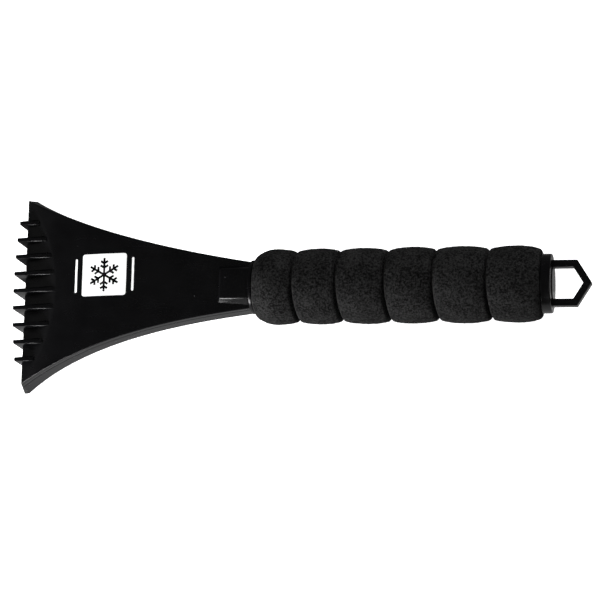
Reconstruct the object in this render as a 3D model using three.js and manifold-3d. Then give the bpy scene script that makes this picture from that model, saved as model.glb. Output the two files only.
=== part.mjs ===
// Windshield ice scraper: a flared head with nine ice-breaking teeth, pressed into a
// foam-covered handle tube that ends in a cap with a hanging loop.
// Millimetres, +X from the blade to the loop, +Z out of the toothed side. The handle's
// axis is parallel to X, in the plane of symmetry, and the scraping edge rests on z = 0.
import * as THREE from 'three';
import { mergeVertices } from 'three/addons/utils/BufferGeometryUtils.js';
import Module from 'manifold-3d';

const wasm = await Module();
wasm.setup();

// Places along X, from the middle of the object.
const TIP_X = -140.5;
const SCRAPING_EDGE_X = -139.4;
const BEVEL_FRONT_X = -136.8;
const NECK_X = -21.2;
const GRIP_FRONT_X = -18.8;
const GRIP_REAR_X = 117.3;
const CAP_FACE_X = 121.6;
const LOOP_TIP_X = 140.5;

// Handle. The lobes' ends are measured from the grip's front.
const GRIP_RADIUS = 18.1;
const GRIP_GROOVE_DEPTH = 1.8;
const GRIP_FRONT_RADIUS = 13.9;
const GRIP_REAR_RADIUS = 15;
const LOBE_ENDS = [0, 20.8, 41.8, 64.8, 87.6, 112.7, 136.1];
const TUBE_RADIUS = 13.4;
const TUBE_WALL = 2;
const GAP = 0.3;

// Head. Heights are from the handle's axis, and the station runs from 0 at the neck to 1 at
// the front edge of the plate. Both edges bow forward a little in the middle.
const NECK_HALF_WIDTH = 11.3;
const FRONT_HALF_WIDTH = 46.1;
const FRONT_BOW = 1.2;
const PLATE_HEIGHT = 6.35;
const PLATE_RISE = 11.7;
const PLATE_DROP = 22.4;
const PLATE_CROWN = 0.4;
const PLATE_DISH = 1.6;
const SKIRT_DEPTH = 9.1;
const SKIRT_DEPTH_GROWTH = 5.7;
const SKIRT_FLARE = 1.15;
const CORNER_FLARE = 1.6;
const BEVEL_LENGTH = 18.1;
const BEVEL_CURVE = 0.93;
const BEVEL_EDGE_Z = -8;
const ROOF_THICKNESS = 2.6;
const SKIRT_THICKNESS = 2.4;
const BLADE_DEPTH = 8;
const REAR_WALL = 3;
const PLATE_CORNER_Z = PLATE_HEIGHT + PLATE_RISE - PLATE_DROP;
const SCRAPING_EDGE_Z = PLATE_CORNER_Z - SKIRT_DEPTH - SKIRT_DEPTH_GROWTH;
const AXIS_HEIGHT = -SCRAPING_EDGE_Z;

// Teeth: fins from the scraping edge up over the bevel.
const TOOTH_COUNT = 9;
const TOOTH_PITCH = 8.4;
const TOOTH_TOP_WIDTH = 1.7;
const TOOTH_FOOT_WIDTH = 4.2;
const TOOTH_TIP_Z = -0.5;
const TOOTH_ROW_BOW = 0.0015;
const TOOTH_REACH = 1.3;
const TOOTH_FOOT_Z = SCRAPING_EDGE_Z + 0.6;
const TOOTH_REAR_PROUD = 0.1;
const TOOTH_REAR_DEPTH = 1.3;

// Reinforcing walls under the plate.
const WALL_THICKNESS = 1.6;
const LONG_WALL_SPACING = 17.5;
const LONG_WALL_COUNT = 5;
const CROSS_WALL_SPACING = 21;
const CROSS_WALL_COUNT = 4;
const WALL_SETBACK = 1.5;
const OVERCUT = 1;

// Neck boss in two tiers, each wider and longer at its foot, then the flange and the spigot.
const BOSS_TIERS = [
  { front: -35.2, top: 10.9, halfWidth: 7.1, foot: 7.3, run: 1.2, spread: 0.9 },
  { front: -36.2, top: 8.3, halfWidth: 8.9, foot: 4.8, run: 1.5, spread: 0.6 },
];
const BOSS_OVERLAP = 0.5;
const FLANGE_RADIUS = 12.9;
const FLANGE_THICKNESS = 1.8;
const SPIGOT_END_X = 24;
const SPIGOT_WEB = 2.6;
const SPIGOT_CLEARANCE = 0.2;

// End cap and hanging loop.
const COLLAR_RADIUS = 14;
const COLLAR_RIM = 0.6;
const PLUG_LENGTH = 18;
const PLUG_WALL = 2.2;
const CAP_WALL = 1;
const CAP_STEP_RADIUS = 8;
const CAP_STEP_SLOPE = 1;
const CAP_STEP = 1.2;
const LOOP_HALF_WIDTH = 10.9;
const LOOP_BAR = 3.4;
const LOOP_TOP_Z = 2.1;
const LOOP_THICKNESS = 5.2;
const LOOP_SHOULDER_X = 133.7;
const LOOP_ROOT = 0.5;

const ROUND_SEGMENTS = 32;

function toSolid(geometry) {
  const bare = geometry.clone();
  bare.deleteAttribute('normal');
  bare.deleteAttribute('uv');
  const welded = mergeVertices(bare, 1e-4);
  return new wasm.Manifold(new wasm.Mesh({
    numProp: 3,
    vertProperties: new Float32Array(welded.attributes.position.array),
    triVerts: new Uint32Array(welded.index.array),
  }));
}

function toGeometry(solid) {
  const mesh = solid.getMesh();
  const geometry = new THREE.BufferGeometry();
  geometry.setAttribute('position', new THREE.BufferAttribute(mesh.vertProperties, 3));
  geometry.setIndex(new THREE.BufferAttribute(mesh.triVerts, 1));
  geometry.computeVertexNormals();
  return geometry;
}

function range(count) {
  return Array.from({ length: count }, (_, index) => index);
}

// A closed body between two grids of points with the same rows and columns, the first above
// the second. Rows run along X and columns along Y.
function bodyBetween(top, bottom) {
  const rows = top.length;
  const columns = top[0].length;
  const points = [...top.flat(), ...bottom.flat()];
  const offset = rows * columns;
  const index = [];
  const quad = (a, b, c, d) => index.push(a, b, c, a, c, d);
  const at = (row, column) => row * columns + column;
  for (let row = 0; row < rows - 1; row += 1) {
    for (let column = 0; column < columns - 1; column += 1) {
      const corners = [at(row, column), at(row + 1, column), at(row + 1, column + 1), at(row, column + 1)];
      quad(...corners);
      quad(...corners.reverse().map((corner) => corner + offset));
    }
    const [right, rightNext] = [at(row, 0), at(row + 1, 0)];
    const [left, leftNext] = [at(row, columns - 1), at(row + 1, columns - 1)];
    quad(right, right + offset, rightNext + offset, rightNext);
    quad(left, leftNext, leftNext + offset, left + offset);
  }
  for (let column = 0; column < columns - 1; column += 1) {
    const [front, frontNext] = [at(0, column), at(0, column + 1)];
    const [rear, rearNext] = [at(rows - 1, column), at(rows - 1, column + 1)];
    quad(front, frontNext, frontNext + offset, front + offset);
    quad(rear, rear + offset, rearNext + offset, rearNext);
  }
  const geometry = new THREE.BufferGeometry();
  geometry.setAttribute('position', new THREE.Float32BufferAttribute(points.flat(), 3));
  geometry.setIndex(index);
  return toSolid(geometry);
}

function box(centre, size) {
  const geometry = new THREE.BoxGeometry(...size);
  geometry.translate(...centre);
  return toSolid(geometry);
}

// A solid of revolution about the handle's axis. The profile holds [x, radius] pairs.
function turned(profile) {
  const points = profile.map(([x, radius]) => new THREE.Vector2(radius, x));
  const geometry = new THREE.LatheGeometry(points, ROUND_SEGMENTS);
  geometry.rotateZ(-Math.PI / 2);
  return geometry;
}

function arc(count, centre, radius, from, to) {
  return range(count + 1).map((step) => {
    const angle = from + (to - from) * step / count;
    return [centre[0] + radius * Math.cos(angle), centre[1] + radius * Math.sin(angle)];
  });
}

// Head outline and surfaces. Across the head, v runs from -1 to 1.
const station = (x) => (NECK_X - x) / (NECK_X - BEVEL_FRONT_X);

function halfWidth(x) {
  const s = station(x);
  const growth = (2 * s + s ** 2 + s ** 3) / 4;
  return NECK_HALF_WIDTH + (FRONT_HALF_WIDTH - NECK_HALF_WIDTH) * growth;
}

const flare = (x) => SKIRT_FLARE + CORNER_FLARE * station(x) ** 10;

function plateEdgeHeight(x) {
  const s = station(x);
  return PLATE_HEIGHT + PLATE_RISE * s - PLATE_DROP * s ** 3;
}

function plateHeight(x, v) {
  const crown = PLATE_CROWN - PLATE_DISH * station(x) ** 2;
  return plateEdgeHeight(x) + crown * (1 - v ** 2);
}

function skirtBottom(x) {
  const depth = SKIRT_DEPTH + SKIRT_DEPTH_GROWTH * station(x) ** 4;
  return Math.max(plateEdgeHeight(x) - depth, SCRAPING_EDGE_Z);
}

const bevelFront = (v) => BEVEL_FRONT_X + FRONT_BOW * v ** 2;
const bevelRear = (v) => bevelFront(v) + BEVEL_LENGTH * (1 - BEVEL_CURVE * v ** 2);
const bevelEdgeHeight = (v) => THREE.MathUtils.lerp(BEVEL_EDGE_Z, plateEdgeHeight(bevelFront(1)), v ** 2);

function topHeight(x, v) {
  if (x >= bevelRear(v)) {
    return plateHeight(x, v);
  }
  const along = (x - bevelFront(v)) / (bevelRear(v) - bevelFront(v));
  return THREE.MathUtils.lerp(bevelEdgeHeight(v), plateHeight(bevelRear(v), v), along);
}

const PLATE_ROWS = 22;
const PLATE_COLUMNS = 16;
const COLUMN_STATIONS = range(PLATE_COLUMNS + 1).map((i) => 2 * i / PLATE_COLUMNS - 1);

function headOutside() {
  const edgeWidth = halfWidth(bevelFront(1));
  const lean = BEVEL_FRONT_X - SCRAPING_EDGE_X;
  const top = [COLUMN_STATIONS.map((v) => [bevelFront(v), v * edgeWidth, bevelEdgeHeight(v)])];
  const bottom = [COLUMN_STATIONS.map((v) => (
    [bevelFront(v) - lean, v * (edgeWidth + flare(bevelFront(1))), SCRAPING_EDGE_Z]
  ))];
  for (const row of range(PLATE_ROWS + 1)) {
    const xAt = (v) => THREE.MathUtils.lerp(bevelRear(v), NECK_X, row / PLATE_ROWS);
    top.push(COLUMN_STATIONS.map((v) => [xAt(v), v * halfWidth(xAt(v)), plateHeight(xAt(v), v)]));
    bottom.push(COLUMN_STATIONS.map((v) => (
      [xAt(v), v * (halfWidth(xAt(v)) + flare(xAt(v))), skirtBottom(xAt(v))]
    )));
  }
  return bodyBetween(top, bottom);
}

// The space under the plate, from a ceiling down past the skirt's rim. Margin widens it.
function underside(ceiling, margin) {
  const frontX = SCRAPING_EDGE_X + BLADE_DEPTH - margin;
  const rearX = NECK_X - REAR_WALL + margin;
  const top = [];
  const bottom = [];
  for (const row of range(PLATE_ROWS + 1)) {
    const x = THREE.MathUtils.lerp(frontX, rearX, row / PLATE_ROWS);
    const topWidth = halfWidth(x) - SKIRT_THICKNESS + margin;
    const bottomWidth = topWidth + SKIRT_FLARE;
    top.push(COLUMN_STATIONS.map((v) => [x, v * topWidth, ceiling(x, v)]));
    bottom.push(COLUMN_STATIONS.map((v) => [x, v * bottomWidth, skirtBottom(x) - OVERCUT]));
  }
  return bodyBetween(top, bottom);
}

function reinforcingWalls() {
  const length = NECK_X - SCRAPING_EDGE_X;
  const middle = (NECK_X + SCRAPING_EDGE_X) / 2;
  const height = 2 * AXIS_HEIGHT;
  const long = range(LONG_WALL_COUNT).map((i) => {
    const y = LONG_WALL_SPACING * (i - (LONG_WALL_COUNT - 1) / 2);
    return box([middle, y, 0], [length, WALL_THICKNESS, height]);
  });
  const cross = range(CROSS_WALL_COUNT).map((i) => {
    const x = SCRAPING_EDGE_X + BLADE_DEPTH + CROSS_WALL_SPACING * (i + 1);
    return box([x, 0, 0], [WALL_THICKNESS, 2 * FRONT_HALF_WIDTH, height]);
  });
  return [...long, ...cross].reduce((all, wall) => all.add(wall));
}

// The underside is open, with walls that stop short of the skirt's rim.
function headHollow() {
  const belowWalls = underside((x) => skirtBottom(x) + WALL_SETBACK, OVERCUT);
  const walls = reinforcingWalls().subtract(belowWalls);
  return underside((x, v) => topHeight(x, v) - ROOF_THICKNESS, 0).subtract(walls);
}

// A tooth is a thin fin over the bevel, from its tip back to the plate, and it widens to its foot.
function tooth(y) {
  const v = y / halfWidth(BEVEL_FRONT_X + BEVEL_LENGTH / 2);
  const tipX = TIP_X + TOOTH_ROW_BOW * y ** 2;
  const rearX = bevelRear(v);
  const rearZ = plateHeight(rearX, v) + TOOTH_REAR_PROUD;
  const tipZ = Math.min(TOOTH_TIP_Z, rearZ);
  const across = (x, z, width) => [-width / 2, width / 2].map((offset) => [x, y + offset, z]);
  const top = [across(tipX, tipZ, TOOTH_TOP_WIDTH), across(rearX, rearZ, TOOTH_TOP_WIDTH)];
  const foot = [
    across(tipX + TOOTH_REACH, TOOTH_FOOT_Z, TOOTH_FOOT_WIDTH),
    across(rearX, rearZ - TOOTH_REAR_DEPTH, TOOTH_FOOT_WIDTH),
  ];
  return bodyBetween(top, foot);
}

function bossTier(tier) {
  const rear = NECK_X + BOSS_OVERLAP;
  const level = (front, z, half) => [
    [[front, -half, z], [front, half, z]],
    [[rear, -half, z], [rear, half, z]],
  ];
  const foot = level(tier.front - tier.run, tier.foot, tier.halfWidth + tier.spread);
  return bodyBetween(level(tier.front, tier.top, tier.halfWidth), foot);
}

function spigot() {
  const bore = TUBE_RADIUS - TUBE_WALL - GAP;
  const length = SPIGOT_END_X - NECK_X;
  const middle = (SPIGOT_END_X + NECK_X) / 2;
  const width = 2 * (bore - SPIGOT_CLEARANCE);
  const upright = box([middle, 0, 0], [length, SPIGOT_WEB, width]);
  const flat = box([middle, 0, 0], [length, width, SPIGOT_WEB]);
  return upright.add(flat);
}

function flange() {
  const rear = NECK_X + FLANGE_THICKNESS;
  return toSolid(turned([[NECK_X, 0], [NECK_X, FLANGE_RADIUS], [rear, FLANGE_RADIUS], [rear, 0]]));
}

function headGeometry() {
  const join = (all, solid) => all.add(solid);
  const teeth = range(TOOTH_COUNT).map((i) => tooth(TOOTH_PITCH * (i - (TOOTH_COUNT - 1) / 2)));
  const moulding = teeth.reduce(join, headOutside()).subtract(headHollow());
  return toGeometry([...BOSS_TIERS.map(bossTier), flange(), spigot()].reduce(join, moulding));
}

function tubeGeometry() {
  const front = NECK_X + FLANGE_THICKNESS + GAP;
  const rear = GRIP_REAR_X - GAP;
  const bore = TUBE_RADIUS - TUBE_WALL;
  return turned([[front, bore], [front, TUBE_RADIUS], [rear, TUBE_RADIUS], [rear, bore], [front, bore]]);
}

// Six soft lobes, each a half wave between two grooves, over the tube.
const LOBE_STEPS = 8;
const LOBE_ROUNDNESS = 0.5;
const FRONT_ROUNDNESS = 0.65;
const REAR_ROUNDNESS = 0.42;

function gripRadius(lobe, fraction) {
  let base = GRIP_RADIUS - GRIP_GROOVE_DEPTH;
  let roundness = LOBE_ROUNDNESS;
  if (lobe === 0 && fraction < 0.5) {
    base = GRIP_FRONT_RADIUS;
    roundness = FRONT_ROUNDNESS;
  } else if (lobe === LOBE_ENDS.length - 2 && fraction > 0.5) {
    base = GRIP_REAR_RADIUS;
    roundness = REAR_ROUNDNESS;
  }
  return base + (GRIP_RADIUS - base) * Math.max(Math.sin(Math.PI * fraction), 0) ** roundness;
}

function gripGeometry() {
  const bore = TUBE_RADIUS + GAP;
  const profile = [[GRIP_FRONT_X, bore]];
  for (const lobe of range(LOBE_ENDS.length - 1)) {
    for (const step of range(LOBE_STEPS + (lobe === LOBE_ENDS.length - 2 ? 1 : 0))) {
      const fraction = step / LOBE_STEPS;
      const x = GRIP_FRONT_X + THREE.MathUtils.lerp(LOBE_ENDS[lobe], LOBE_ENDS[lobe + 1], fraction);
      profile.push([x, gripRadius(lobe, fraction)]);
    }
  }
  profile.push([GRIP_REAR_X, bore], [GRIP_FRONT_X, bore]);
  return turned(profile);
}

function capBody() {
  const front = GRIP_REAR_X + GAP;
  const plug = TUBE_RADIUS - TUBE_WALL - GAP;
  const plugFront = front - PLUG_LENGTH;
  return turned([
    [CAP_FACE_X - CAP_WALL, 0],
    [CAP_FACE_X - CAP_WALL, plug - PLUG_WALL],
    [plugFront, plug - PLUG_WALL],
    [plugFront, plug],
    [front, plug],
    [front, COLLAR_RADIUS],
    ...arc(4, [CAP_FACE_X - COLLAR_RIM, COLLAR_RADIUS - COLLAR_RIM], COLLAR_RIM, Math.PI / 2, 0),
    [CAP_FACE_X, CAP_STEP_RADIUS + CAP_STEP_SLOPE],
    [CAP_FACE_X + CAP_STEP, CAP_STEP_RADIUS],
    [CAP_FACE_X + CAP_STEP, 0],
  ]);
}

function loopOutline(inset) {
  const half = LOOP_HALF_WIDTH - inset;
  const slope = (LOOP_TIP_X - LOOP_SHOULDER_X) / LOOP_HALF_WIDTH;
  const tip = LOOP_TIP_X - inset * Math.hypot(1, slope);
  const shoulder = tip - slope * half;
  const root = CAP_FACE_X - LOOP_ROOT;
  return [[root, -half], [shoulder, -half], [tip, 0], [shoulder, half], [root, half]]
    .map(([x, y]) => new THREE.Vector2(x, y));
}

function loopSolid() {
  const outline = new THREE.Shape(loopOutline(0));
  const ring = new THREE.ExtrudeGeometry(outline, { depth: LOOP_THICKNESS, bevelEnabled: false });
  const opening = new THREE.Shape(loopOutline(LOOP_BAR));
  const cutter = new THREE.ExtrudeGeometry(opening, { depth: LOOP_THICKNESS * 2, bevelEnabled: false });
  ring.translate(0, 0, LOOP_TOP_Z - LOOP_THICKNESS);
  cutter.translate(0, 0, LOOP_TOP_Z - LOOP_THICKNESS * 1.5);
  return toSolid(ring).subtract(toSolid(cutter));
}

function capGeometry() {
  return toGeometry(toSolid(capBody()).add(loopSolid()));
}

function part(name, geometry, color, roughness, metalness = 0) {
  const material = new THREE.MeshStandardMaterial({ color, roughness, metalness });
  const mesh = new THREE.Mesh(geometry, material);
  mesh.name = name;
  return mesh;
}

const scraper = new THREE.Group();
scraper.position.z = AXIS_HEIGHT;
scraper.add(
  part('scraper_head', headGeometry(), 0x0b0b0d, 0.22),
  part('handle_tube', tubeGeometry(), 0x101012, 0.35),
  part('foam_grip', gripGeometry(), 0x141414, 0.95),
  part('end_cap', capGeometry(), 0x0b0b0d, 0.25),
);

export default scraper;
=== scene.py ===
"""Windshield ice scraper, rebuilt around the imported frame. Metres, +X from the blade to the
loop, +Z out of the toothed side."""
import math

import bmesh
import bpy
from mathutils import Matrix, Vector, noise


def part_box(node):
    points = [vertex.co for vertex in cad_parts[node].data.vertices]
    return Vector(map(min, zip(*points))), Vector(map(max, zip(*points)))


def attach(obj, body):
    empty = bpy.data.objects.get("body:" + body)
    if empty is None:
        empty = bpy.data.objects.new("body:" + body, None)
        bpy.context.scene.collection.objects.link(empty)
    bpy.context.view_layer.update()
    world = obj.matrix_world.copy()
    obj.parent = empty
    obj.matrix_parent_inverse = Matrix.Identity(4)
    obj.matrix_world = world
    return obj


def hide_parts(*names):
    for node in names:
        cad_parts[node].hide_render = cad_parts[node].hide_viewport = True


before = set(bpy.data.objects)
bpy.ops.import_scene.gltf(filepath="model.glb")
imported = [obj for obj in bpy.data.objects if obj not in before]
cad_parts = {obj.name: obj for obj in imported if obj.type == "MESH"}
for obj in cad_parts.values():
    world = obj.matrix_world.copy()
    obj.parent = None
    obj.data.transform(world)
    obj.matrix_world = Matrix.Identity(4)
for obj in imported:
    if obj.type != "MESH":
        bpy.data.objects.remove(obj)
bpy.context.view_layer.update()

MM = 0.001

# Places, from the frame.
HEAD_LOW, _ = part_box("scraper_head")
GRIP_LOW, GRIP_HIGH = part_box("foam_grip")
_, CAP_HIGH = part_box("end_cap")
AXIS_Z = (GRIP_LOW.z + GRIP_HIGH.z) / 2
GRIP_FRONT_X = GRIP_LOW.x
GRIP_REAR_X = GRIP_HIGH.x
TIP_X = HEAD_LOW.x
SCRAPING_EDGE_X = TIP_X + 1.1 * MM
BEVEL_FRONT_X = TIP_X + 3.7 * MM
NECK_X = GRIP_FRONT_X - 2.4 * MM
CAP_FACE_X = GRIP_REAR_X + 4.8 * MM
LOOP_TIP_X = CAP_HIGH.x

# Head. Heights are from the handle's axis.
NECK_HALF_WIDTH = 11.3 * MM
FRONT_HALF_WIDTH = 46.1 * MM
FRONT_BOW = 1.2 * MM
PLATE_HEIGHT = 6.35 * MM
PLATE_RISE = 11.7 * MM
PLATE_DROP = 22.4 * MM
PLATE_CROWN = 0.4 * MM
PLATE_DISH = 1.6 * MM
SKIRT_DEPTH = 9.1 * MM
SKIRT_DEPTH_GROWTH = 5.7 * MM
SKIRT_FLARE = 1.15 * MM
CORNER_FLARE = 1.6 * MM
BEVEL_LENGTH = 18.1 * MM
BEVEL_CURVE = 0.93
BEVEL_EDGE_Z = -8 * MM
ROOF_THICKNESS = 2.6 * MM
SKIRT_THICKNESS = 2.4 * MM
BLADE_DEPTH = 8 * MM
REAR_WALL = 3 * MM
SCRAPING_EDGE_Z = HEAD_LOW.z - AXIS_Z
PLATE_EDGE_RADIUS = 0.45 * MM
RIM_RADIUS = 0.3 * MM
SEAM_AT = 0.27
SEAM_WIDTH = 0.035
SEAM_DEPTH = 0.16 * MM

# Teeth: fins from the scraping edge up over the bevel.
TOOTH_COUNT = 9
TOOTH_PITCH = 8.4 * MM
TOOTH_TOP_WIDTH = 1.7 * MM
TOOTH_FOOT_WIDTH = 4.2 * MM
TOOTH_TIP_Z = -0.5 * MM
TOOTH_ROW_BOW = 0.0015 / MM
TOOTH_REACH = 1.3 * MM
TOOTH_FOOT_Z = SCRAPING_EDGE_Z + 0.6 * MM
TOOTH_REAR_PROUD = 0.1 * MM
TOOTH_REAR_DEPTH = 1.3 * MM
TOOTH_EDGE_RADIUS = 0.22 * MM

# Camera: above the handle, leaning towards the loop and towards -Y.
CAMERA_LEAN_X = math.radians(11.5)
CAMERA_LEAN_Y = math.radians(10.3)
CAMERA_ROLL = math.radians(-0.675)
CAMERA_DISTANCE = 1.25
CAMERA_LENS = 157.9
CAMERA_TARGET = Vector((2.0 * MM, -6.4 * MM, AXIS_Z))


def make_camera():
    data = bpy.data.cameras.new("camera")
    data.sensor_width = 36
    data.lens = CAMERA_LENS
    camera = bpy.data.objects.new("camera", data)
    bpy.context.scene.collection.objects.link(camera)
    back = Vector((
        math.sin(CAMERA_LEAN_X) * math.cos(CAMERA_LEAN_Y),
        -math.sin(CAMERA_LEAN_Y),
        math.cos(CAMERA_LEAN_X) * math.cos(CAMERA_LEAN_Y),
    ))
    along = Vector((1, 0, 0))
    right = (along - along.dot(back) * back).normalized()
    up = back.cross(right)
    turned = Matrix((right, up, back)).transposed() @ Matrix.Rotation(CAMERA_ROLL, 3, "Z")
    camera.matrix_world = Matrix.Translation(CAMERA_TARGET + back * CAMERA_DISTANCE) @ turned.to_4x4()
    bpy.context.scene.camera = camera


make_camera()


# ---------------------------------------------------------------- mesh helpers

def link_mesh(name, mesh):
    piece = bpy.data.objects.new(name, mesh)
    bpy.context.scene.collection.objects.link(piece)
    return piece


def finish_bmesh(name, bm):
    bmesh.ops.recalc_face_normals(bm, faces=bm.faces)
    mesh = bpy.data.meshes.new(name)
    bm.to_mesh(mesh)
    bm.free()
    return link_mesh(name, mesh)


def skin_rings(name, rings, closed_along=False):
    """A body skinned over rings of equally many points, with flat ends unless it closes on itself."""
    bm = bmesh.new()
    made = [[bm.verts.new(point) for point in ring] for ring in rings]
    pairs = list(zip(made, made[1:]))
    if closed_along:
        pairs.append((made[-1], made[0]))
    for ring, following in pairs:
        count = len(ring)
        for i in range(count):
            j = (i + 1) % count
            bm.faces.new((ring[i], ring[j], following[j], following[i]))
    if not closed_along:
        bm.faces.new(made[0])
        bm.faces.new(made[-1])
    return finish_bmesh(name, bm)


def turned(name, profile, segments=128, closed=False):
    """A body turned about the handle's axis, from (x, radius) pairs off the axis. An open
    profile is closed by a flat disc at each end."""
    rings = []
    for x, radius in profile:
        ring = []
        for i in range(segments):
            angle = 2 * math.pi * i / segments
            ring.append((x, radius * math.cos(angle), AXIS_Z + radius * math.sin(angle)))
        rings.append(ring)
    return skin_rings(name, rings, closed_along=closed)


def arc(centre_x, centre_radius, radius, start, end, steps=6):
    """Points of a rounded corner in a turned profile, between two angles in degrees."""
    points = []
    for i in range(steps + 1):
        angle = math.radians(start + (end - start) * i / steps)
        points.append((centre_x + radius * math.cos(angle), centre_radius + radius * math.sin(angle)))
    return points


def box_body(name, low, high):
    corners = [
        (x, y, z)
        for x in (low[0], high[0])
        for y in (low[1], high[1])
        for z in (low[2], high[2])
    ]
    bm = bmesh.new()
    verts = [bm.verts.new(c) for c in corners]
    for face in ((0, 1, 3, 2), (4, 6, 7, 5), (0, 4, 5, 1), (2, 3, 7, 6), (0, 2, 6, 4), (1, 5, 7, 3)):
        bm.faces.new([verts[i] for i in face])
    return finish_bmesh(name, bm)


def round_edges(piece, radius, segments=2, angle=30):
    """Rounds every edge of a piece that turns by more than an angle."""
    bm = bmesh.new()
    bm.from_mesh(piece.data)
    limit = math.radians(angle)
    sharp = [e for e in bm.edges if len(e.link_faces) == 2 and e.calc_face_angle() > limit]
    bmesh.ops.bevel(bm, geom=sharp, offset=radius, segments=segments, profile=0.5, affect="EDGES")
    bm.to_mesh(piece.data)
    bm.free()


def combine(target, tool, operation):
    """Joins, cuts or intersects two bodies, and deletes the second."""
    modifier = target.modifiers.new("combine", "BOOLEAN")
    modifier.operation = operation
    modifier.solver = "EXACT"
    modifier.object = tool
    graph = bpy.context.evaluated_depsgraph_get()
    result = bpy.data.meshes.new_from_object(target.evaluated_get(graph))
    target.modifiers.clear()
    target.data = result
    bpy.data.objects.remove(tool)


def shade(piece, angle=34):
    for polygon in piece.data.polygons:
        polygon.use_smooth = True
    piece.data.set_sharp_from_angle(angle=math.radians(angle))


def place(piece, material, slot, *nodes):
    """Gives a piece its material and hides the CAD nodes that it stands for. The slot is not used."""
    piece.data.materials.clear()
    piece.data.materials.append(material)
    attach(piece, "root")
    if nodes:
        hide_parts(*nodes)


def blend(a, b, t):
    return a + (b - a) * t


# ---------------------------------------------------------------- head surfaces

def station(x):
    return max((NECK_X - x) / (NECK_X - BEVEL_FRONT_X), 0)


def half_width(x):
    s = station(x)
    return blend(NECK_HALF_WIDTH, FRONT_HALF_WIDTH, (2 * s + s ** 2 + s ** 3) / 4)


def flare(x):
    return SKIRT_FLARE + CORNER_FLARE * station(x) ** 10


def plate_edge_height(x):
    s = station(x)
    return PLATE_HEIGHT + PLATE_RISE * s - PLATE_DROP * s ** 3


def plate_height(x, v):
    crown = PLATE_CROWN - PLATE_DISH * station(x) ** 2
    return plate_edge_height(x) + crown * (1 - v ** 2)


def skirt_bottom(x):
    depth = SKIRT_DEPTH + SKIRT_DEPTH_GROWTH * station(x) ** 4
    return max(plate_edge_height(x) - depth, SCRAPING_EDGE_Z)


def bevel_front(v):
    return BEVEL_FRONT_X + FRONT_BOW * v ** 2


def bevel_rear(v):
    return bevel_front(v) + BEVEL_LENGTH * (1 - BEVEL_CURVE * v ** 2)


def bevel_edge_height(v):
    return blend(BEVEL_EDGE_Z, plate_edge_height(bevel_front(1)), v ** 2)


def top_height(x, v):
    rear = bevel_rear(v)
    if x >= rear:
        return plate_height(x, v)
    along = (x - bevel_front(v)) / (rear - bevel_front(v))
    return blend(bevel_edge_height(v), plate_height(rear, v), along)


# ---------------------------------------------------------------- head

COLUMNS = 56
SIDE_STEPS = 14
CORNER_STEPS = 4
BEVEL_ROWS = 7
PLATE_ROWS = 84
FRONT_EDGE_RADIUS = 0.2 * MM


def front_lean(v, z):
    """How far the blade's front face reaches forward of its upper edge at a height."""
    down = (bevel_edge_height(v) - z) / (bevel_edge_height(v) - SCRAPING_EDGE_Z)
    return (BEVEL_FRONT_X - SCRAPING_EDGE_X) * down


def side_inset(q):
    """The parting seam that runs along the skirt, as a shallow groove."""
    return SEAM_DEPTH if abs(q - SEAM_AT) < SEAM_WIDTH / 2 else 0


def side_stations():
    seam = [
        SEAM_AT - SEAM_WIDTH, SEAM_AT - SEAM_WIDTH / 3,
        SEAM_AT + SEAM_WIDTH / 3, SEAM_AT + SEAM_WIDTH,
    ]
    plain = [i / SIDE_STEPS for i in range(1, SIDE_STEPS + 1)]
    return sorted(seam + [q for q in plain if abs(q - SEAM_AT) > 2 * SEAM_WIDTH])


def head_ring(x_at, is_front=False, inset=0.0):
    """One closed outline of the head: up one skirt, over the top, down the other, and under."""
    edge_x = x_at(1)
    width = half_width(edge_x)
    edge_z = top_height(edge_x, 1) - inset
    low = (SCRAPING_EDGE_Z if is_front else skirt_bottom(edge_x)) + inset
    flat_width = width - PLATE_EDGE_RADIUS
    side = []
    for i in range(CORNER_STEPS + 1):
        angle = math.radians(90 * (1 - i / CORNER_STEPS))
        y = flat_width + PLATE_EDGE_RADIUS * math.cos(angle) - inset
        side.append((edge_x, y, edge_z - PLATE_EDGE_RADIUS * (1 - math.sin(angle))))
    start_y, start_z = side[-1][1:]
    for q in side_stations():
        side.append((edge_x, start_y + flare(edge_x) * q - side_inset(q), blend(start_z, low, q)))
    x, y, z = side.pop()
    side += [(x, y, z + RIM_RADIUS), (x, y - RIM_RADIUS, z)]
    rim_y = y - RIM_RADIUS
    across = [1 - 2 * i / COLUMNS for i in range(1, COLUMNS)]
    top = [
        (x_at(v), v * flat_width, top_height(x_at(v), v * flat_width / width) - inset)
        for v in across
    ]
    if is_front:
        bottom = [(x_at(v), v * rim_y, low) for v in across]
    else:
        bottom = [(x_at(v), v * rim_y, skirt_bottom(x_at(v))) for v in across]
    mirrored = [(x, -y, z) for x, y, z in side]
    ring = side[::-1] + top + mirrored + bottom[::-1]
    if is_front:
        ring = [(x - front_lean(min(abs(y) / width, 1), z), y, z) for x, y, z in ring]
    return [(x, y, z + AXIS_Z) for x, y, z in ring]


def head_outside():
    face = head_ring(bevel_front, is_front=True, inset=FRONT_EDGE_RADIUS)
    rim = head_ring(bevel_front, is_front=True)
    rings = [face, [(x + FRONT_EDGE_RADIUS, y, z) for x, y, z in rim]]
    for row in range(1, BEVEL_ROWS + 1):
        fraction = row / BEVEL_ROWS
        rings.append(head_ring(lambda v, f=fraction: blend(bevel_front(v), bevel_rear(v), f)))
    for row in range(1, PLATE_ROWS + 1):
        fraction = row / PLATE_ROWS
        rings.append(head_ring(lambda v, f=fraction: blend(bevel_rear(v), NECK_X, f)))
    return skin_rings("scraper_head_moulding", rings)


def body_between(name, top, bottom):
    """A closed body between two grids of points with the same rows and columns."""
    rings = []
    for above, below in zip(top, bottom):
        rings.append([(x, y, z + AXIS_Z) for x, y, z in above + below[::-1]])
    return skin_rings(name, rings)


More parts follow.
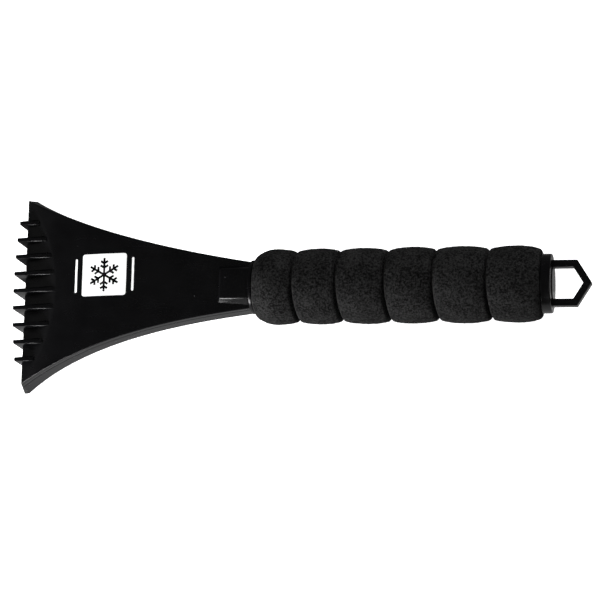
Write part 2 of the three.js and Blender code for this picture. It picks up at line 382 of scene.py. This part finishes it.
HOLLOW_ROWS = 40
HOLLOW_COLUMNS = 24
OVERCUT = 1 * MM


def underside(ceiling, margin):
    """The space under the plate, from a ceiling down past the skirt's rim."""
    front = SCRAPING_EDGE_X + BLADE_DEPTH - margin
    rear = NECK_X - REAR_WALL + margin
    across = [1 - 2 * i / HOLLOW_COLUMNS for i in range(HOLLOW_COLUMNS + 1)]
    top, bottom = [], []
    for row in range(HOLLOW_ROWS + 1):
        x = blend(front, rear, row / HOLLOW_ROWS)
        width = half_width(x) - SKIRT_THICKNESS + margin
        top.append([(x, v * width, ceiling(x, v)) for v in across])
        bottom.append([(x, v * (width + SKIRT_FLARE), skirt_bottom(x) - OVERCUT) for v in across])
    return body_between("underside", top, bottom)


WALL_THICKNESS = 1.6 * MM
LONG_WALL_SPACING = 17.5 * MM
CROSS_WALL_SPACING = 21 * MM
CROSS_WALL_COUNT = 4
WALL_SETBACK = 1.5 * MM


def reinforcing_walls():
    """Long and cross walls under the roof, which stop short of the skirt's rim."""
    half = WALL_THICKNESS / 2
    low = AXIS_Z + SCRAPING_EDGE_Z
    high = AXIS_Z + PLATE_HEIGHT + PLATE_RISE
    walls = []
    for i in range(-2, 3):
        y = LONG_WALL_SPACING * i
        walls.append(box_body("wall", (SCRAPING_EDGE_X, y - half, low), (NECK_X, y + half, high)))
    for i in range(CROSS_WALL_COUNT):
        x = SCRAPING_EDGE_X + BLADE_DEPTH + CROSS_WALL_SPACING * (i + 1)
        start, end = (x - half, -FRONT_HALF_WIDTH, low), (x + half, FRONT_HALF_WIDTH, high)
        walls.append(box_body("wall", start, end))
    grid = walls[0]
    for wall in walls[1:]:
        combine(grid, wall, "UNION")
    combine(grid, underside(lambda x, v: skirt_bottom(x) + WALL_SETBACK, OVERCUT), "DIFFERENCE")
    return grid


def tooth(y):
    """A thin fin over the bevel, from its tip back to the plate, that widens to its foot."""
    v = y / half_width(BEVEL_FRONT_X + BEVEL_LENGTH / 2)
    tip_x = TIP_X + TOOTH_ROW_BOW * y ** 2
    rear_x = bevel_rear(v)
    rear_z = plate_height(rear_x, v) + TOOTH_REAR_PROUD
    tip_z = min(TOOTH_TIP_Z, rear_z)

    def across(x, z, width):
        return [(x, y - width / 2, z), (x, y + width / 2, z)]

    top = [across(tip_x, tip_z, TOOTH_TOP_WIDTH), across(rear_x, rear_z, TOOTH_TOP_WIDTH)]
    foot = [
        across(tip_x + TOOTH_REACH, TOOTH_FOOT_Z, TOOTH_FOOT_WIDTH),
        across(rear_x, rear_z - TOOTH_REAR_DEPTH, TOOTH_FOOT_WIDTH),
    ]
    body = body_between("tooth", top, foot)
    round_edges(body, TOOTH_EDGE_RADIUS)
    return body


# The neck boss is a block whose front and sides slope out to its foot, under the plate.
BOSS_FRONT_X = NECK_X - 14 * MM
BOSS_TOP = 10.9 * MM
BOSS_FOOT = 4.8 * MM
BOSS_HALF_WIDTH = 7.1 * MM
BOSS_RUN = 2.4 * MM
BOSS_SPREAD = 3.3 * MM
BOSS_OVERLAP = 0.5 * MM
BOSS_EDGE_RADIUS = 1.0 * MM
BOSS_PIP = (NECK_X - 11 * MM, 3.3 * MM)
PLATE_PIP = (NECK_X - 26.3 * MM, -5.2 * MM)
PIP_PROFILE = (
    (0.5 * MM, -0.3 * MM),
    (0.5 * MM, 0),
    (0.36 * MM, 0.2 * MM),
    (0.16 * MM, 0.28 * MM),
)
PIP_SEGMENTS = 16
FLANGE_RADIUS = 12.9 * MM
FLANGE_THICKNESS = 1.8 * MM
FLANGE_CORE = 9 * MM
FLANGE_EDGE_RADIUS = 0.5 * MM
SPIGOT_END_X = 24 * MM
SPIGOT_WEB = 2.6 * MM
SPIGOT_RADIUS = 10.9 * MM


def boss():
    rear = NECK_X + BOSS_OVERLAP

    def level(start, z, width):
        return [[(start, -width, z), (start, width, z)], [(rear, -width, z), (rear, width, z)]]

    top = level(BOSS_FRONT_X, BOSS_TOP, BOSS_HALF_WIDTH)
    foot = level(BOSS_FRONT_X - BOSS_RUN, BOSS_FOOT, BOSS_HALF_WIDTH + BOSS_SPREAD)
    block = body_between("boss", top, foot)
    round_edges(block, BOSS_EDGE_RADIUS, segments=4)
    return block


def pip(x, y, z):
    """A small moulding mark, as a low dome."""
    rings = []
    for radius, height in PIP_PROFILE:
        angles = [2 * math.pi * i / PIP_SEGMENTS for i in range(PIP_SEGMENTS)]
        rings.append([(x + radius * math.cos(a), y + radius * math.sin(a), z + height) for a in angles])
    return skin_rings("pip", rings)


def pips():
    x, y = PLATE_PIP
    on_plate = pip(x, y, AXIS_Z + plate_height(x, y / half_width(x)))
    return [pip(*BOSS_PIP, AXIS_Z + BOSS_TOP), on_plate]


def flange():
    rear = NECK_X + FLANGE_THICKNESS
    r = FLANGE_EDGE_RADIUS
    profile = [(NECK_X, FLANGE_CORE)]
    profile += arc(NECK_X + r, FLANGE_RADIUS - r, r, 180, 90)
    profile += arc(rear - r, FLANGE_RADIUS - r, r, 90, 0)
    profile += [(rear, FLANGE_CORE)]
    return turned("flange", profile)


def spigot():
    half = SPIGOT_WEB / 2
    reach = SPIGOT_RADIUS
    upright = box_body("spigot", (NECK_X, -half, AXIS_Z - reach), (SPIGOT_END_X, half, AXIS_Z + reach))
    flat = box_body("spigot", (NECK_X, -reach, AXIS_Z - half), (SPIGOT_END_X, reach, AXIS_Z + half))
    combine(upright, flat, "UNION")
    return upright


def make_head(material):
    head = head_outside()
    for i in range(TOOTH_COUNT):
        combine(head, tooth(TOOTH_PITCH * (i - (TOOTH_COUNT - 1) / 2)), "UNION")
    hollow = underside(lambda x, v: top_height(x, v) - ROOF_THICKNESS, 0)
    combine(hollow, reinforcing_walls(), "DIFFERENCE")
    combine(head, hollow, "DIFFERENCE")
    for addition in [boss(), flange(), spigot()] + pips():
        combine(head, addition, "UNION")
    shade(head)
    place(head, material, "head_plastic", "scraper_head")


# ---------------------------------------------------------------- foam grip

LOBE_ENDS = [0, 20.8 * MM, 41.8 * MM, 64.8 * MM, 87.6 * MM, 112.7 * MM, 136.1 * MM]
GROOVE_DEPTH = 2.0 * MM
GRIP_FRONT_RADIUS = 13.9 * MM
GRIP_REAR_RADIUS = 15 * MM
GRIP_BORE = 13.7 * MM
LOBE_ROWS = 44
GRIP_SEGMENTS = 264
LOBE_ROUNDNESS = 0.5
FRONT_ROUNDNESS = 0.65
REAR_ROUNDNESS = 0.42
SLIT_DEPTH = 1.7 * MM
SLIT_WIDTH = 0.7 * MM
FOAM_GRAIN = 0.13 * MM
FOAM_SWELL = 0.22 * MM
SWELL_SCALE = 55
FINE_GRAIN_SCALE = 1500
COARSE_GRAIN_SCALE = 700
BORE_MARGIN = 0.1 * MM
GROOVE_BEND = 2.0 * MM
BEND_TURN = math.radians(20)
BEND_FADE = 16 * MM


def grip_radius(lobe, fraction, radius):
    base, roundness = radius - GROOVE_DEPTH, LOBE_ROUNDNESS
    if lobe == 0 and fraction < 0.5:
        base, roundness = GRIP_FRONT_RADIUS, FRONT_ROUNDNESS
    elif lobe == len(LOBE_ENDS) - 2 and fraction > 0.5:
        base, roundness = GRIP_REAR_RADIUS, REAR_ROUNDNESS
    return base + (radius - base) * max(math.sin(math.pi * fraction), 0) ** roundness


def foam_profile():
    radius = (GRIP_HIGH.z - GRIP_LOW.z) / 2
    points = []
    for lobe in range(len(LOBE_ENDS) - 1):
        last = lobe == len(LOBE_ENDS) - 2
        for row in range(LOBE_ROWS + (1 if last else 0)):
            # Rows crowd towards the grooves, where the surface turns quickly.
            fraction = 0.5 - 0.5 * math.cos(math.pi * row / LOBE_ROWS)
            x = GRIP_LOW.x + blend(LOBE_ENDS[lobe], LOBE_ENDS[lobe + 1], fraction)
            nearest = min(abs(x - GRIP_LOW.x - end) for end in LOBE_ENDS[1:-1])
            slit = SLIT_DEPTH * math.exp(-(nearest / SLIT_WIDTH) ** 2)
            points.append((x, grip_radius(lobe, fraction, radius) - slit))
    return points


def groove_bend(x, offset):
    """How far the soft sleeve's grooves bow towards the blade on the toothed side."""
    angle = math.atan2(offset.y, offset.z) - BEND_TURN
    from_end = min(x - GRIP_LOW.x, GRIP_HIGH.x - x)
    fade = min(max(from_end / BEND_FADE, 0), 1)
    return GROOVE_BEND * (0.5 + 0.5 * math.cos(angle)) ** 2 * fade ** 2 * (3 - 2 * fade)


def make_grip(material):
    """A soft sleeve with six lobes: slightly uneven, with the grain of closed-cell foam."""
    profile = foam_profile()
    inner = [(GRIP_HIGH.x, GRIP_BORE), (GRIP_LOW.x, GRIP_BORE)]
    grip = turned("foam_grip_sleeve", profile + inner, GRIP_SEGMENTS, closed=True)
    for vertex in grip.data.vertices:
        offset = Vector((0, vertex.co.y, vertex.co.z - AXIS_Z))
        radius = offset.length
        if radius < GRIP_BORE + BORE_MARGIN:
            continue
        outward = offset / radius
        swell = noise.noise(vertex.co * SWELL_SCALE) * FOAM_SWELL
        fine = noise.noise(vertex.co * FINE_GRAIN_SCALE) * FOAM_GRAIN
        coarse = noise.noise(vertex.co * COARSE_GRAIN_SCALE) * FOAM_GRAIN
        vertex.co += outward * (swell + (fine + coarse))
        vertex.co.x -= groove_bend(vertex.co.x, offset)
    shade(grip, angle=60)
    place(grip, material, "grip_foam", "foam_grip")


# ---------------------------------------------------------------- end cap and loop

COLLAR_RADIUS = 14 * MM
LIP_RADIUS = 14.25 * MM
LIP_WIDTH = 0.6 * MM
CAP_STEP_RADIUS = 8 * MM
CAP_STEP = 0.5 * MM
CAP_STEP_EDGE = 0.2 * MM
COLLAR_RIM = 0.6 * MM
LIP_EDGE = 0.15 * MM
PLUG_WALL = 2.2 * MM
CAP_GAP = 0.3 * MM
LOOP_EDGE_RADIUS = 0.3 * MM
LOOP_ROOT = 0.5 * MM
PLUG_RADIUS = 11.1 * MM
PLUG_LENGTH = 18 * MM
LOOP_HALF_WIDTH = 10.9 * MM
LOOP_BAR = 3.4 * MM
LOOP_TOP_Z = 2.1 * MM
LOOP_THICKNESS = 5.2 * MM
LOOP_SHOULDER_X = LOOP_TIP_X - 6.8 * MM


def cap_body():
    front = GRIP_REAR_X + CAP_GAP
    step_x = CAP_FACE_X + CAP_STEP
    profile = [(front - PLUG_LENGTH, PLUG_RADIUS - PLUG_WALL), (front - PLUG_LENGTH, PLUG_RADIUS)]
    profile += [(front, PLUG_RADIUS)]
    profile += arc(front + LIP_EDGE, LIP_RADIUS - LIP_EDGE, LIP_EDGE, 180, 0)
    profile += [(front + LIP_WIDTH, COLLAR_RADIUS)]
    profile += arc(CAP_FACE_X - COLLAR_RIM, COLLAR_RADIUS - COLLAR_RIM, COLLAR_RIM, 90, 0, 8)
    profile += [(CAP_FACE_X, CAP_STEP_RADIUS)]
    profile += arc(step_x - CAP_STEP_EDGE, CAP_STEP_RADIUS - CAP_STEP_EDGE, CAP_STEP_EDGE, 90, 0, 4)
    return turned("end_cap_moulding", profile)


def loop_outline(inset):
    half = LOOP_HALF_WIDTH - inset
    slope = (LOOP_TIP_X - LOOP_SHOULDER_X) / LOOP_HALF_WIDTH
    tip = LOOP_TIP_X - inset * math.hypot(1, slope)
    shoulder = tip - slope * half
    root = CAP_FACE_X - LOOP_ROOT
    return [(root, -half), (shoulder, -half), (tip, 0), (shoulder, half), (root, half)]


def prism(name, outline, low, high):
    return skin_rings(name, [[(x, y, z) for x, y in outline] for z in (low, high)])


def hanging_loop():
    top = AXIS_Z + LOOP_TOP_Z
    bottom = top - LOOP_THICKNESS
    loop = prism("loop", loop_outline(0), bottom, top)
    opening = prism("opening", loop_outline(LOOP_BAR), bottom - OVERCUT, top + OVERCUT)
    combine(loop, opening, "DIFFERENCE")
    round_edges(loop, LOOP_EDGE_RADIUS, segments=3)
    return loop


def make_cap(material):
    cap = cap_body()
    combine(cap, hanging_loop(), "UNION")
    shade(cap, angle=40)
    place(cap, material, "cap_plastic", "end_cap")


# ---------------------------------------------------------------- print on the plate

PRINT_CENTRE_X = -92.6 * MM
PRINT_CENTRE_Y = 5.6 * MM
PRINT_HALF_LENGTH = 11.3 * MM
PRINT_HALF_WIDTH = 10.2 * MM
PRINT_CORNER = 1.2 * MM
PRINT_THICKNESS = 0.05 * MM
SNOWFLAKE_RADIUS = 8.2 * MM
ARM_WIDTH = 1.1 * MM
SIDE_BAR_OFFSET = 14.6 * MM
SIDE_BAR_HALF_WIDTH = 0.55 * MM
SIDE_BAR_HALF_LENGTH = 8.2 * MM
SIDE_BAR_CORNER = SIDE_BAR_HALF_WIDTH * 0.99
PRINT_SLAB = 1 * MM
PRINT_STRIPS = 24
TWIGS = ((0.42, 2.3 * MM), (0.68, 2.1 * MM))


def rounded_rectangle(half_x, half_y, corner, steps=5):
    points = []
    for start, (side_x, side_y) in zip((0, 90, 180, 270), ((1, 1), (-1, 1), (-1, -1), (1, -1))):
        for i in range(steps + 1):
            angle = math.radians(start + 90 * i / steps)
            x = side_x * (half_x - corner) + corner * math.cos(angle)
            points.append((x, side_y * (half_y - corner) + corner * math.sin(angle)))
    return points


def stroke(start, end):
    """A flat bar between two points of the print."""
    aside = (end - start).normalized().orthogonal() * ARM_WIDTH / 2
    outline = [start + aside, start - aside, end - aside, end + aside]
    return prism("stroke", outline, -PRINT_SLAB, PRINT_SLAB)


def snowflake_strokes():
    """Three bars through the middle, and two pairs of twigs on each of the six arms."""
    strokes = []
    for i in range(6):
        along = Vector((math.sin(math.radians(60 * i)), math.cos(math.radians(60 * i))))
        if i < 3:
            strokes.append(stroke(-along * SNOWFLAKE_RADIUS, along * SNOWFLAKE_RADIUS))
        for at, reach in TWIGS:
            for side in (-60, 60):
                root = along * SNOWFLAKE_RADIUS * at
                twig = Matrix.Rotation(math.radians(side), 2) @ along
                strokes.append(stroke(root, root + twig * reach))
    return strokes


def slice_grid(bm, axis, reach, count):
    """Cuts a mesh into strips across one axis, so that it can follow a curved surface."""
    for i in range(1, count):
        at, normal = Vector(), Vector()
        at[axis] = -reach + 2 * reach * i / count
        normal[axis] = 1
        whole = bm.verts[:] + bm.edges[:] + bm.faces[:]
        bmesh.ops.bisect_plane(bm, geom=whole, plane_co=at, plane_no=normal)


def make_print(material):
    """A plain white panel with a snowflake left open, and a bar on each side."""
    outline = rounded_rectangle(PRINT_HALF_LENGTH, PRINT_HALF_WIDTH, PRINT_CORNER)
    panel = prism("plate_print", outline, -PRINT_SLAB, PRINT_SLAB)
    for cut in snowflake_strokes():
        combine(panel, cut, "DIFFERENCE")
    bar = rounded_rectangle(SIDE_BAR_HALF_WIDTH, SIDE_BAR_HALF_LENGTH, SIDE_BAR_CORNER)
    for side in (-SIDE_BAR_OFFSET, SIDE_BAR_OFFSET):
        shifted = [(x + side, y) for x, y in bar]
        combine(panel, prism("side_bar", shifted, -PRINT_SLAB, PRINT_SLAB), "UNION")
    bm = bmesh.new()
    bm.from_mesh(panel.data)
    slice_grid(bm, 0, SIDE_BAR_OFFSET + SIDE_BAR_HALF_WIDTH, PRINT_STRIPS)
    slice_grid(bm, 1, PRINT_HALF_WIDTH, PRINT_STRIPS)
    for vert in bm.verts:
        x = vert.co.x + PRINT_CENTRE_X
        y = vert.co.y + PRINT_CENTRE_Y
        lift = PRINT_THICKNESS if vert.co.z > 0 else -PRINT_THICKNESS / 2
        vert.co = (x, y, AXIS_Z + plate_height(x, y / half_width(x)) + lift)
    bm.to_mesh(panel.data)
    bm.free()
    place(panel, material, "head_plastic")


# ---------------------------------------------------------------- materials

def new_material(name, color, roughness):
    material = bpy.data.materials.new(name)
    material.use_nodes = True
    shader = material.node_tree.nodes["Principled BSDF"]
    shader.inputs["Base Color"].default_value = (*color, 1)
    shader.inputs["Roughness"].default_value = roughness
    return material, material.node_tree, shader


def add_noise(tree, scale, detail=4, rough=0.5, stretch=None):
    coords = tree.nodes.new("ShaderNodeTexCoord")
    source = coords.outputs["Object"]
    if stretch:
        mapping = tree.nodes.new("ShaderNodeMapping")
        mapping.inputs["Scale"].default_value = stretch
        tree.links.new(source, mapping.inputs["Vector"])
        source = mapping.outputs["Vector"]
    texture = tree.nodes.new("ShaderNodeTexNoise")
    texture.inputs["Scale"].default_value = scale
    texture.inputs["Detail"].default_value = detail
    texture.inputs["Roughness"].default_value = rough
    tree.links.new(source, texture.inputs["Vector"])
    return texture.outputs["Fac"]


def remap(tree, value, low, high, start=0.3, end=0.7):
    node = tree.nodes.new("ShaderNodeMapRange")
    node.inputs["From Min"].default_value = start
    node.inputs["From Max"].default_value = end
    node.inputs["To Min"].default_value = low
    node.inputs["To Max"].default_value = high
    tree.links.new(value, node.inputs["Value"])
    return node.outputs["Result"]


def color_ramp(tree, value, dark, light, start=0.3, end=0.7):
    node = tree.nodes.new("ShaderNodeValToRGB")
    node.color_ramp.elements[0].position = start
    node.color_ramp.elements[0].color = (*dark, 1)
    node.color_ramp.elements[1].position = end
    node.color_ramp.elements[1].color = (*light, 1)
    tree.links.new(value, node.inputs["Fac"])
    return node.outputs["Color"]


def add_bump(tree, shader, height, strength, distance, after=None):
    node = tree.nodes.new("ShaderNodeBump")
    node.inputs["Strength"].default_value = strength
    node.inputs["Distance"].default_value = distance
    tree.links.new(height, node.inputs["Height"])
    if after:
        tree.links.new(after, node.inputs["Normal"])
    tree.links.new(node.outputs["Normal"], shader.inputs["Normal"])
    return node.outputs["Normal"]


def gloss_plastic():
    """Black moulded plastic: glossy, with a faint flow mottle, fine scuffs and orange peel."""
    material, tree, shader = new_material("gloss_black_plastic", (0.0016, 0.0016, 0.0018), 0.24)
    shader.inputs["Specular IOR Level"].default_value = 0.42
    mottle = add_noise(tree, 90, 5)
    color = color_ramp(tree, mottle, (0.0010, 0.0010, 0.0012), (0.0022, 0.0022, 0.0025))
    tree.links.new(color, shader.inputs["Base Color"])
    scuffs = add_noise(tree, 260, 6, 0.7, stretch=(0.15, 1, 1))
    tree.links.new(remap(tree, scuffs, 0.17, 0.30), shader.inputs["Roughness"])
    peel = add_bump(tree, shader, add_noise(tree, 420, 2), 0.05, 0.0002)
    add_bump(tree, shader, scuffs, 0.02, 0.0001, after=peel)
    return material


def satin_plastic():
    """The tube's extruded plastic, with draw lines along its length."""
    material, tree, shader = new_material("satin_black_plastic", (0.006, 0.006, 0.006), 0.45)
    lines = add_noise(tree, 600, 3, 0.6, stretch=(0.03, 1, 1))
    tree.links.new(remap(tree, lines, 0.36, 0.5), shader.inputs["Roughness"])
    color = color_ramp(tree, lines, (0.005, 0.005, 0.005), (0.008, 0.008, 0.008))
    tree.links.new(color, shader.inputs["Base Color"])
    add_bump(tree, shader, lines, 0.1, 0.0001)
    return material


def foam():
    """Black closed-cell foam: matt and granular, with open cells and a soft grazing sheen."""
    material, tree, shader = new_material("black_foam", (0.006, 0.006, 0.006), 0.95)
    shader.inputs["Specular IOR Level"].default_value = 0.12
    coords = tree.nodes.new("ShaderNodeTexCoord")
    cells = tree.nodes.new("ShaderNodeTexVoronoi")
    cells.inputs["Scale"].default_value = 1500
    tree.links.new(coords.outputs["Object"], cells.inputs["Vector"])
    grain = add_noise(tree, 1100, 5, 0.65)
    patches = add_noise(tree, 120, 4)
    mix = tree.nodes.new("ShaderNodeMath")
    mix.operation = "MULTIPLY_ADD"
    mix.inputs[1].default_value = 0.2
    tree.links.new(patches, mix.inputs[0])
    tree.links.new(grain, mix.inputs[2])
    color = color_ramp(tree, mix.outputs[0], (0.0012, 0.0012, 0.0012), (0.021, 0.021, 0.021), 0.50, 0.71)
    tree.links.new(color, shader.inputs["Base Color"])
    pores = add_bump(tree, shader, cells.outputs["Distance"], 0.5, 0.0004)
    add_bump(tree, shader, grain, 0.7, 0.0005, after=pores)
    return material


def ink():
    """White pad-print ink: even, slightly uneven at the small scale."""
    material, tree, shader = new_material("white_print_ink", (0.85, 0.85, 0.85), 0.5)
    cover = add_noise(tree, 900, 4)
    color = color_ramp(tree, cover, (0.80, 0.80, 0.80), (0.92, 0.92, 0.92))
    tree.links.new(color, shader.inputs["Base Color"])
    tree.links.new(remap(tree, cover, 0.42, 0.55), shader.inputs["Roughness"])
    add_bump(tree, shader, cover, 0.05, 0.0001)
    return material


# ---------------------------------------------------------------- studio

FLOOR_HALF_SIZE = 3.0
FLOOR_GLOW = 0.85
WORLD_LIGHT = 0.06
BACKDROP_WHITE = 0.93


def make_floor():
    """The white floor is only a backdrop, so it gives no light to the object."""
    bm = bmesh.new()
    bmesh.ops.create_grid(bm, x_segments=1, y_segments=1, size=FLOOR_HALF_SIZE)
    floor = finish_bmesh("floor", bm)
    floor.visible_glossy = False
    floor.visible_diffuse = False
    material, _, shader = new_material("pale_floor", (0.9, 0.9, 0.9), 0.8)
    shader.inputs["Emission Color"].default_value = (1, 1, 1, 1)
    shader.inputs["Emission Strength"].default_value = FLOOR_GLOW
    shader.inputs["Specular IOR Level"].default_value = 0
    floor.data.materials.append(material)


def make_bounce_card(low, high, strength):
    """A card under the object that its upright walls reflect."""
    card = box_body("bounce_card", low, high)
    card.visible_camera = False
    card.visible_diffuse = False
    card.visible_shadow = False
    material, _, shader = new_material("bounce_card", (0, 0, 0), 1)
    shader.inputs["Emission Color"].default_value = (1, 1, 1, 1)
    shader.inputs["Emission Strength"].default_value = strength
    card.data.materials.append(material)


def make_world():
    world = bpy.data.worlds.new("studio")
    bpy.context.scene.world = world
    world.use_nodes = True
    tree = world.node_tree
    background = tree.nodes["Background"]
    background.inputs["Strength"].default_value = WORLD_LIGHT
    shown = tree.nodes.new("ShaderNodeBackground")
    shown.inputs["Color"].default_value = (BACKDROP_WHITE, BACKDROP_WHITE, BACKDROP_WHITE, 1)
    path = tree.nodes.new("ShaderNodeLightPath")
    mix = tree.nodes.new("ShaderNodeMixShader")
    background.inputs["Color"].default_value = (1, 1, 1, 1)
    tree.links.new(path.outputs["Is Camera Ray"], mix.inputs[0])
    tree.links.new(background.outputs[0], mix.inputs[1])
    tree.links.new(shown.outputs[0], mix.inputs[2])
    tree.links.new(mix.outputs[0], tree.nodes["World Output"].inputs["Surface"])


def make_softbox(name, position, size, power, glossy=True, diffuse=True):
    light = bpy.data.lights.new(name, "AREA")
    light.shape = "RECTANGLE"
    light.size, light.size_y = size
    light.energy = power
    holder = bpy.data.objects.new(name, light)
    bpy.context.scene.collection.objects.link(holder)
    holder.location = position
    holder.visible_glossy = glossy
    holder.visible_diffuse = diffuse
    aim = Vector((0, 0, AXIS_Z)) - holder.location
    holder.rotation_mode = "QUATERNION"
    holder.rotation_quaternion = aim.to_track_quat("-Z", "Y")


def make_studio():
    """Softboxes that only the gloss of the plastic sees, and others that only light matt surfaces."""
    make_floor()
    make_bounce_card((-0.20, -0.20, -0.004), (0.20, 0.0, -0.003), 0.45)
    make_bounce_card((0.112, 0.0, -0.004), (0.20, 0.04, -0.003), 0.27)
    make_world()
    make_softbox("key_softbox", Vector((-0.65, -1.25, 0.40)), (0.8, 0.4), 20, diffuse=False)
    make_softbox("loop_softbox", Vector((1.25, -0.3, 0.6)), (0.9, 0.6), 2, diffuse=False)
    make_softbox("bevel_softbox", Vector((-1.2, 0.2, 0.42)), (0.8, 0.3), 0.07, diffuse=False)
    make_softbox("foam_front_softbox", Vector((-0.34, -0.34, 0.09)), (0.3, 0.12), 7.3, glossy=False)
    make_softbox("foam_rear_softbox", Vector((0.35, 0.60, 0.25)), (0.4, 0.2), 4, glossy=False)
    make_softbox("overhead_softbox", Vector((-0.1, 0.2, 1.4)), (1.0, 1.0), 9, glossy=False)
    scene = bpy.context.scene
    scene.view_settings.view_transform = "Standard"
    scene.view_settings.look = "None"


# ---------------------------------------------------------------- assembly

black = gloss_plastic()
make_head(black)
make_print(ink())
make_grip(foam())
make_cap(black)
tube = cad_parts["handle_tube"]
tube.data.materials.clear()
tube.data.materials.append(satin_plastic())
make_studio()
